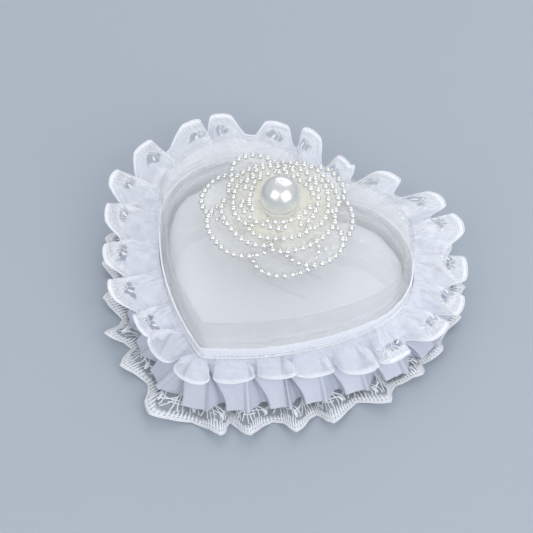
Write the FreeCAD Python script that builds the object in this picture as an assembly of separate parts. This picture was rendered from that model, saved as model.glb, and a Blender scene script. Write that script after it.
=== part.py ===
"""Heart-shaped ring box: clear tray and lift-off lid, three ruffled trims round the tray,
a satin ring cushion inside, and a pearl-edged organza rose on the lid.

Row frame: +Z up, the tray's underside at z = 0, the heart's tip towards -Y,
and the middle of the heart's width and length at x = 0, y = 0. Millimetres."""

import FreeCAD, Part
import math
import os

Vector = FreeCAD.Vector

# ---- Driving dimensions of the clear box -------------------------------------------------
HEART_WIDTH = 110.0
HEART_LENGTH = 95.6
LOBE_SHARE = 0.2973           # lobe radius as a share of the width
SIDE_SHARE = 1.1              # side arc radius as a share of the width
TIP_RADIUS = 3.0
NOTCH_RADIUS = 2.5
LEAST_CORNER = 0.8            # smallest corner radius that an offset outline keeps

BOX_HEIGHT = 40.0
PARTING_HEIGHT = 23.3         # where lid and tray meet
TRAY_WALL = 1.6
TRAY_FLOOR = 1.8
LID_WALL = 1.6
LID_TOP = 1.8
LID_EDGE_ROUND = 2.2
LID_INNER_ROUND = 0.8
LID_BEAD_OUT = 0.9            # bead round the lid's lower edge
LID_BEAD_HEIGHT = 1.5
TRAY_FOOT_ROUND = 1.0
LIP_RISE = 3.0                # register lip that the lid drops over
LIP_WALL = 1.2
LIP_LEDGE = 3.5               # how far the thickened wall under the lip reaches down
LID_CLEARANCE = 0.3           # lid wall to register lip
LID_SEAT_GAP = 0.3            # lid's lower edge to the tray's rim

# ---- Ring cushion ------------------------------------------------------------------------
CUSHION_GAP = 0.9             # cushion to tray wall
CUSHION_HEADROOM = 2.2        # cushion's top below the ledge under the lip
COVER_CLOTH = 0.4
FLAP_WIDTH = 11.0             # cover turned under the board
BOARD_THICKNESS = 1.0
FOAM_GAP = 0.1                # foam to cover
CUSHION_EDGE_ROUND = 3.0
SLOT_LENGTH = 22.0
SLOT_WIDTH = 2.6
SLOT_DEPTH = 9.0
SLOT_SPACING = 14.0           # two ring slots, one behind the other
SLOTS_BACK = 10.0             # their middle lies this far behind the rose's middle

# ---- Ruffled trims -----------------------------------------------------------------------
TAPE_GAP = 0.05
TAPE_THICKNESS = 0.5
TAPE_MARGIN = 0.4             # tape top above the cloth that it carries
UPPER_LACE_WIDTH = 23.4       # how far each trim stands out beyond its tape
UPPER_LACE_ROOT = 3.8         # thickness of the gathers at the tape
UPPER_LACE_HEM = 9.0          # height that the flutes take up at the hem
UPPER_LACE_DROP = 2.4         # underside of the hem below the underside of the root
SATIN_WIDTH = 17.9
SATIN_ROOT = 4.5
SATIN_HEM_OVER_LACE = 0.3
SATIN_HEM = 1.9
SATIN_PLEAT_DEPTH = 2.2
SATIN_TO_UPPER = 1.6
LOWER_LACE_WIDTH = 27.4
LOWER_LACE_ROOT_HEIGHT = 1.8
LOWER_LACE_ROOT = 4.7
LOWER_LACE_HEM = 5.0
LOWER_LACE_TREAD = 3.0        # width of the hem that lies on the table
RIM_MARGIN = 0.9              # tray rim above the topmost cloth

# ---- Rose on the lid ---------------------------------------------------------------------
FLOWER_BEHIND_LOBES = 4.2     # flower axis in front of the line through the lobe centres
BACKING_RADIUS = 12.0
BACKING_THICKNESS = 1.0
POST_GAP = 0.05               # petal roots to the post
PEARL_RADIUS = 8.0
PEARL_HEIGHT = 15.5           # centre of the big pearl above the lid
CUP_WALL = 0.7
CUP_GAP = 0.05
CUP_RIM_BELOW_CENTRE = 3.5
ORGANZA = 0.3
BEAD_RADIUS = 1.3
BEAD_PITCH = 3.1
THREAD_RADIUS = 0.2
THREAD_BITE = 0.1             # how far a run of thread goes into its pearl
EDGE_GAP = 0.05               # petal edge to bead
SECTOR_GAP = 0.2              # bead to the petal's sector boundary
ROOT_RADIUS = 5.0             # where every petal starts
ROOT_FILL = 0.8               # share of its sector that a petal's root takes
NARROW_BELOW = 40.0           # petals with a smaller half angle have a tighter cap,
NARROW_CAP = 0.62             # this share of their reach in radius

# Each layer: name, height of its root above the lid, slope in degrees, radius of its
# corners, radius outside which pearls are strung, then (direction, half angle, reach).
LAYERS = [
    ("outer_low", 1.5, 2.0, 5.5, 22.0,
     [(187, 22, 33.5), (308, 24, 31.0), (22, 26, 30.0), (110, 21, 29.5)]),
    ("outer_high", 2.2, 11.0, 5.5, 22.0,
     [(148, 18, 33.0), (243, 34, 31.0), (341, 20, 33.0), (70, 20, 29.5)]),
    ("middle", 3.0, 20.0, 7.0, 18.0,
     [(245, 45, 23.5), (335, 45, 24.0), (65, 45, 23.5), (155, 45, 23.0)]),
    ("inner", 3.9, 28.0, 6.5, 16.6,
     [(300, 45, 19.5), (30, 45, 19.5), (120, 45, 19.2), (210, 45, 19.2)]),
    ("throat", 5.0, 40.0, 5.5, 11.6,
     [(262, 60, 15.0), (22, 60, 15.0), (142, 60, 14.8)]),
    ("core", 6.3, 48.0, 4.0, 9.8,
     [(322, 60, 12.0), (82, 60, 12.0), (202, 60, 12.0)]),
]

# ---- Values worked out from the ones above -----------------------------------------------
LOBE_RADIUS = LOBE_SHARE * HEART_WIDTH
SIDE_RADIUS = SIDE_SHARE * HEART_WIDTH
LOBE_X = HEART_WIDTH / 2 - LOBE_RADIUS
LOBE_Y = HEART_LENGTH / 2 - LOBE_RADIUS
TIP_CENTRE_Y = -HEART_LENGTH / 2 + TIP_RADIUS
CLOTH_START = TAPE_GAP + TAPE_THICKNESS + TAPE_GAP
LIP_OUT = -(LID_WALL + LID_CLEARANCE)
LIP_IN = LIP_OUT - LIP_WALL
CUSHION_OUT = -(TRAY_WALL + CUSHION_GAP)
CUSHION_TOP = PARTING_HEIGHT - LIP_LEDGE - CUSHION_HEADROOM
THREAD_GRIP = BEAD_RADIUS - THREAD_BITE
STRING_INSET = BEAD_RADIUS + EDGE_GAP
POST_RADIUS = ROOT_RADIUS - POST_GAP
FLOWER_CENTRE = Vector(0, LOBE_Y - FLOWER_BEHIND_LOBES, BOX_HEIGHT)
FAR = 500.0                   # larger than the whole box, for cutting solids


# ---- Heart outlines ----------------------------------------------------------------------
def unit(vector):
    return vector * (1.0 / vector.Length)


def arc_about(centre, start, end, clockwise=True):
    """Arc about centre, seen from above, from start to end."""
    first = math.atan2(start.y - centre.y, start.x - centre.x)
    last = math.atan2(end.y - centre.y, end.x - centre.x)
    sweep = (first - last) % (2 * math.pi) if clockwise else (last - first) % (2 * math.pi)
    half = first - sweep / 2 if clockwise else first + sweep / 2
    radius = (start - centre).Length
    middle = centre + Vector(math.cos(half), math.sin(half), 0) * radius
    return Part.Arc(start, middle, end).toShape()


def side_centre():
    """Centre of the right side arc, which holds the lobe circle and the tip circle."""
    lobe, tip = Vector(LOBE_X, LOBE_Y, 0), Vector(0, TIP_CENTRE_Y, 0)
    to_lobe, to_tip = SIDE_RADIUS - LOBE_RADIUS, SIDE_RADIUS - TIP_RADIUS
    across = tip - lobe
    span = across.Length
    along = (to_lobe ** 2 - to_tip ** 2 + span ** 2) / (2 * span)
    off = math.sqrt(to_lobe ** 2 - along ** 2)
    ahead = unit(across)
    left = Vector(ahead.y, -ahead.x, 0)
    return lobe + ahead * along + left * off


def heart_wire(offset, z):
    """The heart's outline, moved outwards by offset, at height z, as six tangent arcs."""
    lobe, side = Vector(LOBE_X, LOBE_Y, 0), side_centre()
    lobe_radius, side_radius = LOBE_RADIUS + offset, SIDE_RADIUS + offset
    tip_radius = max(TIP_RADIUS + offset, LEAST_CORNER)
    tip = Vector(0, side.y - math.sqrt((side_radius - tip_radius) ** 2 - side.x ** 2), 0)
    notch_radius = max(NOTCH_RADIUS - offset, LEAST_CORNER)
    notch_y = LOBE_Y + math.sqrt((lobe_radius + notch_radius) ** 2 - LOBE_X ** 2)
    notch = Vector(0, notch_y, 0)
    at_notch = lobe + unit(notch - lobe) * lobe_radius
    at_side = lobe + unit(lobe - side) * lobe_radius
    at_tip = side + unit(tip - side) * side_radius
    lift = Vector(0, 0, z)

    def mirrored(point):
        return Vector(-point.x, point.y, point.z)

    edges = [
        arc_about(lobe + lift, at_notch + lift, at_side + lift),
        arc_about(side + lift, at_side + lift, at_tip + lift),
        arc_about(tip + lift, at_tip + lift, mirrored(at_tip) + lift),
        arc_about(mirrored(side) + lift, mirrored(at_tip) + lift, mirrored(at_side) + lift),
        arc_about(mirrored(lobe) + lift, mirrored(at_side) + lift, mirrored(at_notch) + lift),
        arc_about(notch + lift, mirrored(at_notch) + lift, at_notch + lift, False),
    ]
    return Part.Wire(edges)


def heart_block(offset, z_low, z_high):
    return Part.Face(heart_wire(offset, z_low)).extrude(Vector(0, 0, z_high - z_low))


def heart_ring(offset_in, offset_out, z_low, z_high):
    return heart_block(offset_out, z_low, z_high).cut(
        heart_block(offset_in, z_low - 1, z_high + 1))


def skirt(profile):
    """A closed ring round the heart whose section is the polygon of (offset, z) corners."""
    wires = [heart_wire(offset, z) for offset, z in profile]
    faces = []
    for one, other in zip(wires, wires[1:] + wires[:1]):
        faces += Part.makeLoft([one, other], False, True).Faces
    solid = Part.makeSolid(Part.makeShell(faces))
    if solid.Volume < 0:
        solid.reverse()
    return solid


def edges_at(shape, z):
    """Edges that lie wholly at height z."""
    return [e for e in shape.Edges
            if abs(e.BoundBox.ZMin - z) < 1e-4 and abs(e.BoundBox.ZMax - z) < 1e-4]


def save(name, shape):
    shape.exportStep("parts/%s.step" % name)


# ---- Clear tray and lid ------------------------------------------------------------------
def tray_shell():
    body = heart_block(0, 0, PARTING_HEIGHT)
    body = body.makeFillet(TRAY_FOOT_ROUND, edges_at(body, 0))
    lip = heart_block(LIP_OUT, PARTING_HEIGHT - LIP_LEDGE, PARTING_HEIGHT + LIP_RISE)
    ledge = PARTING_HEIGHT - LIP_LEDGE
    lower_cavity = heart_block(-TRAY_WALL, TRAY_FLOOR, ledge)
    upper_cavity = heart_block(LIP_IN, ledge, PARTING_HEIGHT + LIP_RISE)
    return body.fuse(lip).cut(lower_cavity.fuse(upper_cavity)).removeSplitter()


def lid_shell():
    low = PARTING_HEIGHT + LID_SEAT_GAP
    body = heart_block(0, low, BOX_HEIGHT)
    body = body.makeFillet(LID_EDGE_ROUND, edges_at(body, BOX_HEIGHT))
    bead = heart_block(LID_BEAD_OUT, low, low + LID_BEAD_HEIGHT)
    ceiling = BOX_HEIGHT - LID_TOP
    cavity = heart_block(-LID_WALL, low, ceiling)
    cavity = cavity.makeFillet(LID_INNER_ROUND, edges_at(cavity, ceiling))
    return body.fuse(bead).cut(cavity).removeSplitter()


# ---- Ring cushion ------------------------------------------------------------------------
def slots(length, width, depth, top):
    """The two ring slots as one shape, cut down from height top."""
    boxes = []
    middle = FLOWER_CENTRE.y + SLOTS_BACK
    for y in (middle - SLOT_SPACING / 2, middle + SLOT_SPACING / 2):
        corner = Vector(-length / 2, y - width / 2, top - depth)
        boxes.append(Part.makeBox(length, width, depth, corner))
    return boxes[0].fuse(boxes[1])


def cushion_board():
    low = TRAY_FLOOR + COVER_CLOTH
    return heart_block(CUSHION_OUT - COVER_CLOTH - FOAM_GAP, low, low + BOARD_THICKNESS)


def cushion_foam():
    low = TRAY_FLOOR + COVER_CLOTH + BOARD_THICKNESS
    high = CUSHION_TOP - COVER_CLOTH - FOAM_GAP
    foam = heart_block(CUSHION_OUT - COVER_CLOTH - FOAM_GAP, low, high)
    foam = foam.makeFillet(CUSHION_EDGE_ROUND - COVER_CLOTH - FOAM_GAP, edges_at(foam, high))
    lining = COVER_CLOTH + FOAM_GAP
    depth = SLOT_DEPTH + lining
    return foam.cut(slots(SLOT_LENGTH + 2 * lining, SLOT_WIDTH + 2 * lining, depth, high + 0.1))


def cushion_cover():
    outside = heart_block(CUSHION_OUT, TRAY_FLOOR, CUSHION_TOP)
    outside = outside.makeFillet(CUSHION_EDGE_ROUND, edges_at(outside, CUSHION_TOP))
    under = CUSHION_TOP - COVER_CLOTH
    inside = heart_block(CUSHION_OUT - COVER_CLOTH, TRAY_FLOOR + COVER_CLOTH, under)
    inside = inside.makeFillet(CUSHION_EDGE_ROUND - COVER_CLOTH, edges_at(inside, under))
    window = heart_block(CUSHION_OUT - FLAP_WIDTH, TRAY_FLOOR - 1, TRAY_FLOOR + 1)
    lining = slots(SLOT_LENGTH + 2 * COVER_CLOTH, SLOT_WIDTH + 2 * COVER_CLOTH,
                   SLOT_DEPTH, CUSHION_TOP - COVER_CLOTH / 2)
    opening = slots(SLOT_LENGTH, SLOT_WIDTH, SLOT_DEPTH, CUSHION_TOP + COVER_CLOTH)
    return outside.cut(inside.fuse(window)).fuse(lining).cut(opening).removeSplitter()


# ---- Ruffled trims -----------------------------------------------------------------------
def tape(z_low, z_high):
    return heart_ring(TAPE_GAP, TAPE_GAP + TAPE_THICKNESS, z_low, z_high)


def trim_nodes():
    """The three gathered trims and the tapes that they are stitched to, from the top down."""
    root = CLOTH_START
    upper_top = PARTING_HEIGHT - RIM_MARGIN
    upper_low = upper_top - UPPER_LACE_ROOT
    upper_hem = upper_low - UPPER_LACE_DROP
    upper_end = root + UPPER_LACE_WIDTH
    satin_top = upper_low - SATIN_TO_UPPER
    satin_low = satin_top - SATIN_ROOT
    satin_end = root + SATIN_WIDTH
    lower_low = LOWER_LACE_ROOT_HEIGHT
    lower_top = lower_low + LOWER_LACE_ROOT
    lower_end = root + LOWER_LACE_WIDTH
    slope = (LOWER_LACE_HEM - lower_top) / LOWER_LACE_WIDTH
    satin_inner = satin_end - SATIN_PLEAT_DEPTH
    satin_hem = lower_top + slope * (satin_inner - root) + SATIN_HEM_OVER_LACE
    return {
        "upper_lace_ruffle": skirt([(root, upper_low), (root, upper_top),
                                    (upper_end, upper_hem + UPPER_LACE_HEM),
                                    (upper_end, upper_hem)]),
        "upper_lace_tape": tape(upper_low, upper_top + TAPE_MARGIN),
        "satin_pleated_ruffle": skirt([(root, satin_low), (root, satin_top),
                                       (satin_end, satin_hem + SATIN_HEM),
                                       (satin_inner, satin_hem)]),
        "satin_tape": tape(satin_low, satin_top + TAPE_MARGIN),
        "lower_lace_ruffle": skirt([(root, lower_low), (root, lower_top),
                                    (lower_end, LOWER_LACE_HEM), (lower_end, 0),
                                    (lower_end - LOWER_LACE_TREAD, 0)]),
        "lower_lace_tape": tape(lower_low, lower_top + TAPE_MARGIN),
    }


# ---- Rose --------------------------------------------------------------------------------
def cone_height(radius, root_height, slope):
    """Height above the lid of a layer's cone at this distance from the flower's axis."""
    return root_height + (radius - ROOT_RADIUS) * math.tan(math.radians(slope))


def corner_centre(half_angle, reach, corner):
    """Centres, in plan, of the corner of a petal along +X and of its rounded cap.

    The corner keeps the pearls inside the petal's sector. A narrow petal has a cap of
    smaller radius, so that it looks like a scallop."""
    angle = math.radians(half_angle)
    along = Vector(math.cos(angle), math.sin(angle), 0)
    inward = Vector(math.sin(angle), -math.cos(angle), 0)
    cap = NARROW_CAP * reach if half_angle < NARROW_BELOW else reach
    cap_centre = Vector(reach - cap, 0, 0)
    base = inward * (BEAD_RADIUS + SECTOR_GAP + corner) - cap_centre
    half = base.dot(along)
    run = math.sqrt(half ** 2 - base.dot(base) + (cap - corner) ** 2) - half
    return cap_centre + base + along * run, cap_centre


def petal_edges(half_angle, reach, corner, grow):
    """Petal outline without its root: side, corner, cap, corner, side.

    With grow at 0 this is the organza's edge; otherwise it is moved outwards by grow."""
    centre, cap_centre = corner_centre(half_angle, reach, corner)
    radius = corner - STRING_INSET
    root_angle = math.radians(ROOT_FILL * half_angle)
    root = Vector(math.cos(root_angle), math.sin(root_angle), 0) * ROOT_RADIUS
    span = centre - root
    turn = math.asin(radius / span.Length)
    heading = unit(span)
    side = Vector(heading.x * math.cos(turn) - heading.y * math.sin(turn),
                  heading.x * math.sin(turn) + heading.y * math.cos(turn), 0)
    normal = Vector(-side.y, side.x, 0)
    start, side_end = root + normal * grow, centre + normal * (radius + grow)
    cap_end = centre + unit(centre - cap_centre) * (radius + grow)

    def low(point):
        return Vector(point.x, -point.y, point.z)

    return [
        Part.LineSegment(start, side_end).toShape(),
        arc_about(centre, side_end, cap_end),
        arc_about(cap_centre, cap_end, low(cap_end)),
        arc_about(low(centre), low(cap_end), low(side_end)),
        Part.LineSegment(low(side_end), low(start)).toShape(),
    ]


def placed(shape, direction):
    """A shape made about the origin, turned to its direction on the lid."""
    shape = shape.copy()
    shape.rotate(Vector(0, 0, 0), Vector(0, 0, 1), direction)
    shape.translate(FLOWER_CENTRE)
    return shape


def petal_solid(root_height, slope, corner, half_angle, reach):
    """Organza petal: a thin cone cut to the outline, just inside its pearls."""
    edges = petal_edges(half_angle, reach, corner, 0)
    start, end = edges[0].Vertexes[0].Point, edges[-1].Vertexes[-1].Point
    edges.append(arc_about(Vector(0, 0, 0), end, start, False))
    outline = Part.Face(Part.Wire(edges)).extrude(Vector(0, 0, FAR))
    corners = []
    for radius in (ROOT_RADIUS - 1, reach + 1):
        height = cone_height(radius, root_height, slope)
        corners.append(Vector(radius, 0, height))
    section = corners + [corners[1] + Vector(0, 0, ORGANZA), corners[0] + Vector(0, 0, ORGANZA)]
    section.append(section[0])
    cone = Part.Face(Part.makePolygon(section)).revolve(Vector(0, 0, 0), Vector(0, 0, 1), 360)
    return outline.common(Part.makeSolid(cone.Shells[0]))


def bead_places(root_height, slope, corner, strung_from, half_angle, reach):
    """Centres of a petal's pearls, evenly spaced along its edge."""
    path = Part.Wire(petal_edges(half_angle, reach, corner, STRING_INSET))
    fine = path.discretize(Distance=0.05)
    fine = [p for p in fine if math.hypot(p.x, p.y) > strung_from]
    length = sum((b - a).Length for a, b in zip(fine, fine[1:]))
    count = int(length / BEAD_PITCH)
    wanted = [length * i / count for i in range(count + 1)]
    places, gone = [], 0.0
    for a, b in zip(fine, fine[1:]):
        while wanted and wanted[0] <= gone + 1e-6:
            places.append(a)
            wanted.pop(0)
        gone += (b - a).Length
    if wanted:
        places.append(fine[-1])
    middle = ORGANZA / 2
    return [Vector(p.x, p.y, cone_height(math.hypot(p.x, p.y), root_height, slope) + middle)
            for p in places]


def pearl_string(places):
    """Pearls moulded on one thread."""
    pieces = []
    for i, place in enumerate(places):
        heading = places[min(i + 1, len(places) - 1)] - places[max(i - 1, 0)]
        pearl = Part.makeSphere(BEAD_RADIUS, place)
        across = math.degrees(math.atan2(heading.y, heading.x)) + 90
        pearl.rotate(place, Vector(0, 0, 1), across)
        pieces.append(pearl)
    for one, other in zip(places, places[1:]):
        heading = unit(other - one)
        start = one + heading * THREAD_GRIP
        run = (other - one).Length - 2 * THREAD_GRIP
        pieces.append(Part.makeCylinder(THREAD_RADIUS, run, start, heading))
    return pieces[0].multiFuse(pieces[1:])


def rose_nodes():
    nodes = {}
    for name, root_height, slope, corner, strung_from, petals in LAYERS:
        for number, (direction, half_angle, reach) in enumerate(petals, 1):
            petal = petal_solid(root_height, slope, corner, half_angle, reach)
            places = bead_places(root_height, slope, corner, strung_from, half_angle, reach)
            nodes["petal_%s_%d" % (name, number)] = placed(petal, direction)
            nodes["pearls_%s_%d" % (name, number)] = placed(pearl_string(places), direction)
    nodes["flower_backing"] = placed(
        Part.makeCylinder(BACKING_RADIUS, BACKING_THICKNESS), 0)
    pearl_centre = Vector(0, 0, PEARL_HEIGHT)
    cup_outer = PEARL_RADIUS + CUP_GAP + CUP_WALL
    cup = Part.makeSphere(cup_outer, pearl_centre).cut(
        Part.makeSphere(PEARL_RADIUS + CUP_GAP, pearl_centre))
    above = Part.makeBox(FAR, FAR, FAR, Vector(-FAR / 2, -FAR / 2,
                                               PEARL_HEIGHT - CUP_RIM_BELOW_CENTRE))
    nodes["pearl_cup"] = placed(cup.cut(above), 0)
    post = Part.makeCylinder(POST_RADIUS, PEARL_HEIGHT - BACKING_THICKNESS,
                             Vector(0, 0, BACKING_THICKNESS))
    nodes["flower_post"] = placed(post.cut(Part.makeSphere(cup_outer, pearl_centre)), 0)
    nodes["big_pearl"] = placed(Part.makeSphere(PEARL_RADIUS, pearl_centre), 0)
    return nodes


def main():
    os.makedirs("parts", exist_ok=True)
    nodes = {
        "tray_shell": tray_shell(),
        "lid_shell": lid_shell(),
        "cushion_board": cushion_board(),
        "cushion_foam": cushion_foam(),
        "cushion_cover": cushion_cover(),
    }
    nodes.update(trim_nodes())
    nodes.update(rose_nodes())
    for name, shape in nodes.items():
        save(name, shape)
    print(len(nodes), "nodes")


main()
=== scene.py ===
import math
import random

import bpy
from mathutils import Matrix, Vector
from mathutils import noise


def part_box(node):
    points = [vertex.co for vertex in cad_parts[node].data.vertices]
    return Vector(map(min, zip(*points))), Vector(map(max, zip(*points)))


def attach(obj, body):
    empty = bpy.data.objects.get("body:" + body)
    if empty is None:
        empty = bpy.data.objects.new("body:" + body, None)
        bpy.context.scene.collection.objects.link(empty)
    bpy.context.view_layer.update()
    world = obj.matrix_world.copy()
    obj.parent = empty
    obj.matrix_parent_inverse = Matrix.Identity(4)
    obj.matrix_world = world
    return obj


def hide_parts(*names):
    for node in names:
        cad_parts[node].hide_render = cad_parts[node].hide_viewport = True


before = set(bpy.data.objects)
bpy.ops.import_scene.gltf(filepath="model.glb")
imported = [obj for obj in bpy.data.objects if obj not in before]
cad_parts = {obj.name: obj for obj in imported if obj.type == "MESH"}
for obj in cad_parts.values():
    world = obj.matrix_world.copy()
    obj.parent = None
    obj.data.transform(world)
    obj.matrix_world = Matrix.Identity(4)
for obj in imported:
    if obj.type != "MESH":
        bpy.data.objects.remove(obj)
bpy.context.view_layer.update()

MM = 0.001
CM = 0.1  # centimetres in a millimetre of cloth: the patterns on cloth are drawn in centimetres
TAU = 2 * math.pi

# Folds of each trim, and the length and width of its cloth as the patterns on it are drawn.
UPPER_FOLDS, UPPER_CLOTH, UPPER_WIDTH = 24, 600.0, 22.0
SATIN_PLEATS, SATIN_CLOTH, SATIN_WIDTH = 25, 520.0, 19.0
LOWER_FOLDS, LOWER_CLOTH, LOWER_WIDTH = 25, 520.0, 26.0
LOWER_REPEATS = 40
UPPER_COLUMNS, UPPER_ROWS = UPPER_FOLDS * 40, 17
SATIN_COLUMNS, SATIN_ROWS = SATIN_PLEATS * 50, 15
LOWER_COLUMNS, LOWER_ROWS = LOWER_FOLDS * 36, 15
CORD_UV_STEP = 0.06
PLAIN_FROM, PLAIN_TO = 0.3, 0.55  # turns between which the upper lace has no needlework


# ---- The heart's outline ---------------------------------------------------------------
LOBE_SHARE = 0.2973
SIDE_SHARE = 1.1
TIP_RADIUS = 3.0
NOTCH_RADIUS = 2.5
LEAST_CORNER = 0.8
EVEN_AT = 12.0  # offset at which equal turns are equal lengths of the outline


def millimetres(node):
    """Lowest and highest corner of a CAD node, in millimetres."""
    low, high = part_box(node)
    return Vector(low) / MM, Vector(high) / MM


class Heart:
    """The tray's outline in plan, moved outwards by any offset, in millimetres.

    A turn of 0 is the notch, a quarter is on the right side and a half is the tip."""

    def __init__(self, width, length, even_at):
        self.lobe_radius = LOBE_SHARE * width
        self.side_radius = SIDE_SHARE * width
        self.lobe = Vector((width / 2 - self.lobe_radius, length / 2 - self.lobe_radius))
        tip = Vector((0, -length / 2 + TIP_RADIUS))
        across = tip - self.lobe
        to_lobe = self.side_radius - self.lobe_radius
        to_tip = self.side_radius - TIP_RADIUS
        along = (to_lobe ** 2 - to_tip ** 2 + across.length ** 2) / (2 * across.length)
        off = math.sqrt(to_lobe ** 2 - along ** 2)
        ahead = across.normalized()
        self.side = self.lobe + ahead * along + Vector((ahead.y, -ahead.x)) * off
        spans = [abs(arc[1] * arc[3]) for arc in self.arcs(even_at)]
        self.shares = [span / sum(spans) for span in spans]

    def arcs(self, offset):
        """Right half, from the notch to the tip: (centre, radius, first angle, sweep, side)."""
        lobe_radius, side_radius = self.lobe_radius + offset, self.side_radius + offset
        tip_radius = max(TIP_RADIUS + offset, LEAST_CORNER)
        reach = math.sqrt((side_radius - tip_radius) ** 2 - self.side.x ** 2)
        tip = Vector((0, self.side.y - reach))
        notch_radius = max(NOTCH_RADIUS - offset, LEAST_CORNER)
        rise = math.sqrt((lobe_radius + notch_radius) ** 2 - self.lobe.x ** 2)
        notch = Vector((0, self.lobe.y + rise))
        to_lobe, from_side, to_tip = self.lobe - notch, self.lobe - self.side, tip - self.side
        notch_end = math.atan2(to_lobe.y, to_lobe.x)
        lobe_start = math.atan2(-to_lobe.y, -to_lobe.x)
        lobe_end = math.atan2(from_side.y, from_side.x)
        side_end = math.atan2(to_tip.y, to_tip.x)
        return [
            (notch, notch_radius, -math.pi / 2, notch_end + math.pi / 2, -1),
            (self.lobe, lobe_radius, lobe_start, -((lobe_start - lobe_end) % TAU), 1),
            (self.side, side_radius, lobe_end, -((lobe_end - side_end) % TAU), 1),
            (tip, tip_radius, side_end, -((side_end + math.pi / 2) % TAU), 1),
        ]

    def at(self, turn, offset):
        """Point and outward direction in plan."""
        turn %= 1.0
        left = turn > 0.5
        share = 2 * (1 - turn) if left else 2 * turn
        for arc, part in zip(self.arcs(offset), self.shares):
            if share <= part:
                break
            share -= part
        else:
            share = part
        centre, radius, first, sweep, side = arc
        angle = first + sweep * min(share / part, 1.0)
        out = Vector((math.cos(angle), math.sin(angle)))
        point = centre + out * radius
        out *= side
        if left:
            point.x, out.x = -point.x, -out.x
        return point, out


tray_low, tray_high = millimetres("tray_shell")
_, lid_high = millimetres("lid_shell")
heart = Heart(tray_high.x - tray_low.x, tray_high.y - tray_low.y, EVEN_AT)
SLOTS_BEYOND_LOBES = 5.8
SLOTS_Y = heart.lobe.y + SLOTS_BEYOND_LOBES


def smooth(x):
    """Eased step from 0 to 1."""
    x = min(max(x, 0.0), 1.0)
    return x * x * (3 - 2 * x)


def around(stops, turn):
    """Smooth closed change through (turn, values) stops."""
    turn %= 1.0
    for (a, one), (b, other) in zip(stops, stops[1:] + [(stops[0][0] + 1.0, stops[0][1])]):
        if a <= turn <= b:
            share = smooth((turn - a) / (b - a))
            return [x + (y - x) * share for x, y in zip(one, other)]
    return stops[0][1]


# ---- Mesh helpers ----------------------------------------------------------------------
def new_piece(name, points, faces, body, uvs=None, soft=True):
    """Mesh object with its place in its mesh. points are in millimetres; uvs are per point."""
    mesh = bpy.data.meshes.new(name)
    mesh.from_pydata([tuple(Vector(p) * MM) for p in points], [], faces)
    mesh.validate()
    if uvs:
        layer = mesh.uv_layers.new(name="cloth")
        for loop in mesh.loops:
            layer.data[loop.index].uv = uvs[loop.vertex_index]
    mesh.polygons.foreach_set("use_smooth", [soft] * len(mesh.polygons))
    piece = bpy.data.objects.new(name, mesh)
    bpy.context.collection.objects.link(piece)
    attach(piece, body)
    return piece


def only(piece):
    """Deselects everything and makes piece the active, selected object."""
    if bpy.context.object and bpy.context.object.mode != "OBJECT":
        bpy.ops.object.mode_set(mode="OBJECT")
    bpy.ops.object.select_all(action="DESELECT")
    piece.select_set(True)
    bpy.context.view_layer.objects.active = piece


def apply_modifier(piece, kind, **settings):
    """Adds one modifier to a piece and applies it."""
    only(piece)
    modifier = piece.modifiers.new(kind.title(), kind)
    for key, value in settings.items():
        setattr(modifier, key, value)
    bpy.ops.object.modifier_apply(modifier=modifier.name)


def closed_grid(columns, rows):
    """Quads of a grid whose last column joins its first. Points run row by row."""
    faces = []
    for j in range(rows - 1):
        for i in range(columns):
            k = (i + 1) % columns
            faces.append((j * columns + i, j * columns + k,
                          (j + 1) * columns + k, (j + 1) * columns + i))
    return faces


def strip_cut(piece, columns, rows):
    """Flat cut of a ruffle in metres: (length of its hem, mean depth), and its area. It is a
    curved strip, because its hem is longer than its seam."""
    points = [v.co for v in piece.data.vertices]

    def edge(row):
        line = points[row * columns:(row + 1) * columns]
        return sum((b - a).length for a, b in zip(line, line[1:] + line[:1]))

    falls = [(a - b).length for a, b in zip(points, points[columns:])]
    depth = sum(falls) / columns
    return (edge(rows - 1), depth), (edge(0) + edge(rows - 1)) / 2 * depth


class Needlework:
    """Threads and patches drawn on flat cloth, as (along, down) in millimetres, then laid
    on the gathered ruffle."""

    TAPER = 0.6

    def __init__(self):
        self.points, self.faces = [], []

    def thread(self, line, width, taper=False):
        """Flat thread along a line of points; a tapered one thins towards its end."""
        start = len(self.points)
        count = len(line)
        for i, (x, y) in enumerate(line):
            before, after = line[max(i - 1, 0)], line[min(i + 1, count - 1)]
            run = Vector((after[0] - before[0], after[1] - before[1]))
            side = Vector((-run.y, run.x)).normalized() * width / 2
            if taper:
                side *= 1 - self.TAPER * i / (count - 1)
            self.points += [(x + side.x, y + side.y), (x - side.x, y - side.y)]
            if i:
                a = start + 2 * i - 2
                self.faces.append((a, a + 1, a + 3, a + 2))

    def patch(self, outline):
        """Filled shape, given as two edges of equal count that meet at both ends."""
        one, other = outline
        start = len(self.points)
        for a, b in zip(one, other):
            self.points += [a, b]
        for i in range(len(one) - 1):
            a = start + 2 * i
            self.faces.append((a, a + 1, a + 3, a + 2))

    def leaf(self, root, angle, length, width, bend=0.0, steps=6):
        """Pointed leaf that may curve along its length."""
        one, other = [], []
        for i in range(steps + 1):
            s = i / steps
            turn = angle + bend * s
            x = root[0] + length * s * math.cos(turn)
            y = root[1] + length * s * math.sin(turn)
            half = max(width / 2 * math.sin(math.pi * min(s * 0.94 + 0.03, 1)), 0.05)
            nx, ny = -math.sin(turn) * half, math.cos(turn) * half
            one.append((x + nx, y + ny))
            other.append((x - nx, y - ny))
        self.patch((one, other))

    def laid(self, name, body, place, thickness):
        """The drawing as a piece: place puts each of its points on the ruffle."""
        piece = new_piece(name, [place(x, y) for x, y in self.points], self.faces, body,
                          uvs=[(x * CM, y * CM) for x, y in self.points])
        apply_modifier(piece, "SOLIDIFY", thickness=thickness * MM, offset=0.0)
        return piece


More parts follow.
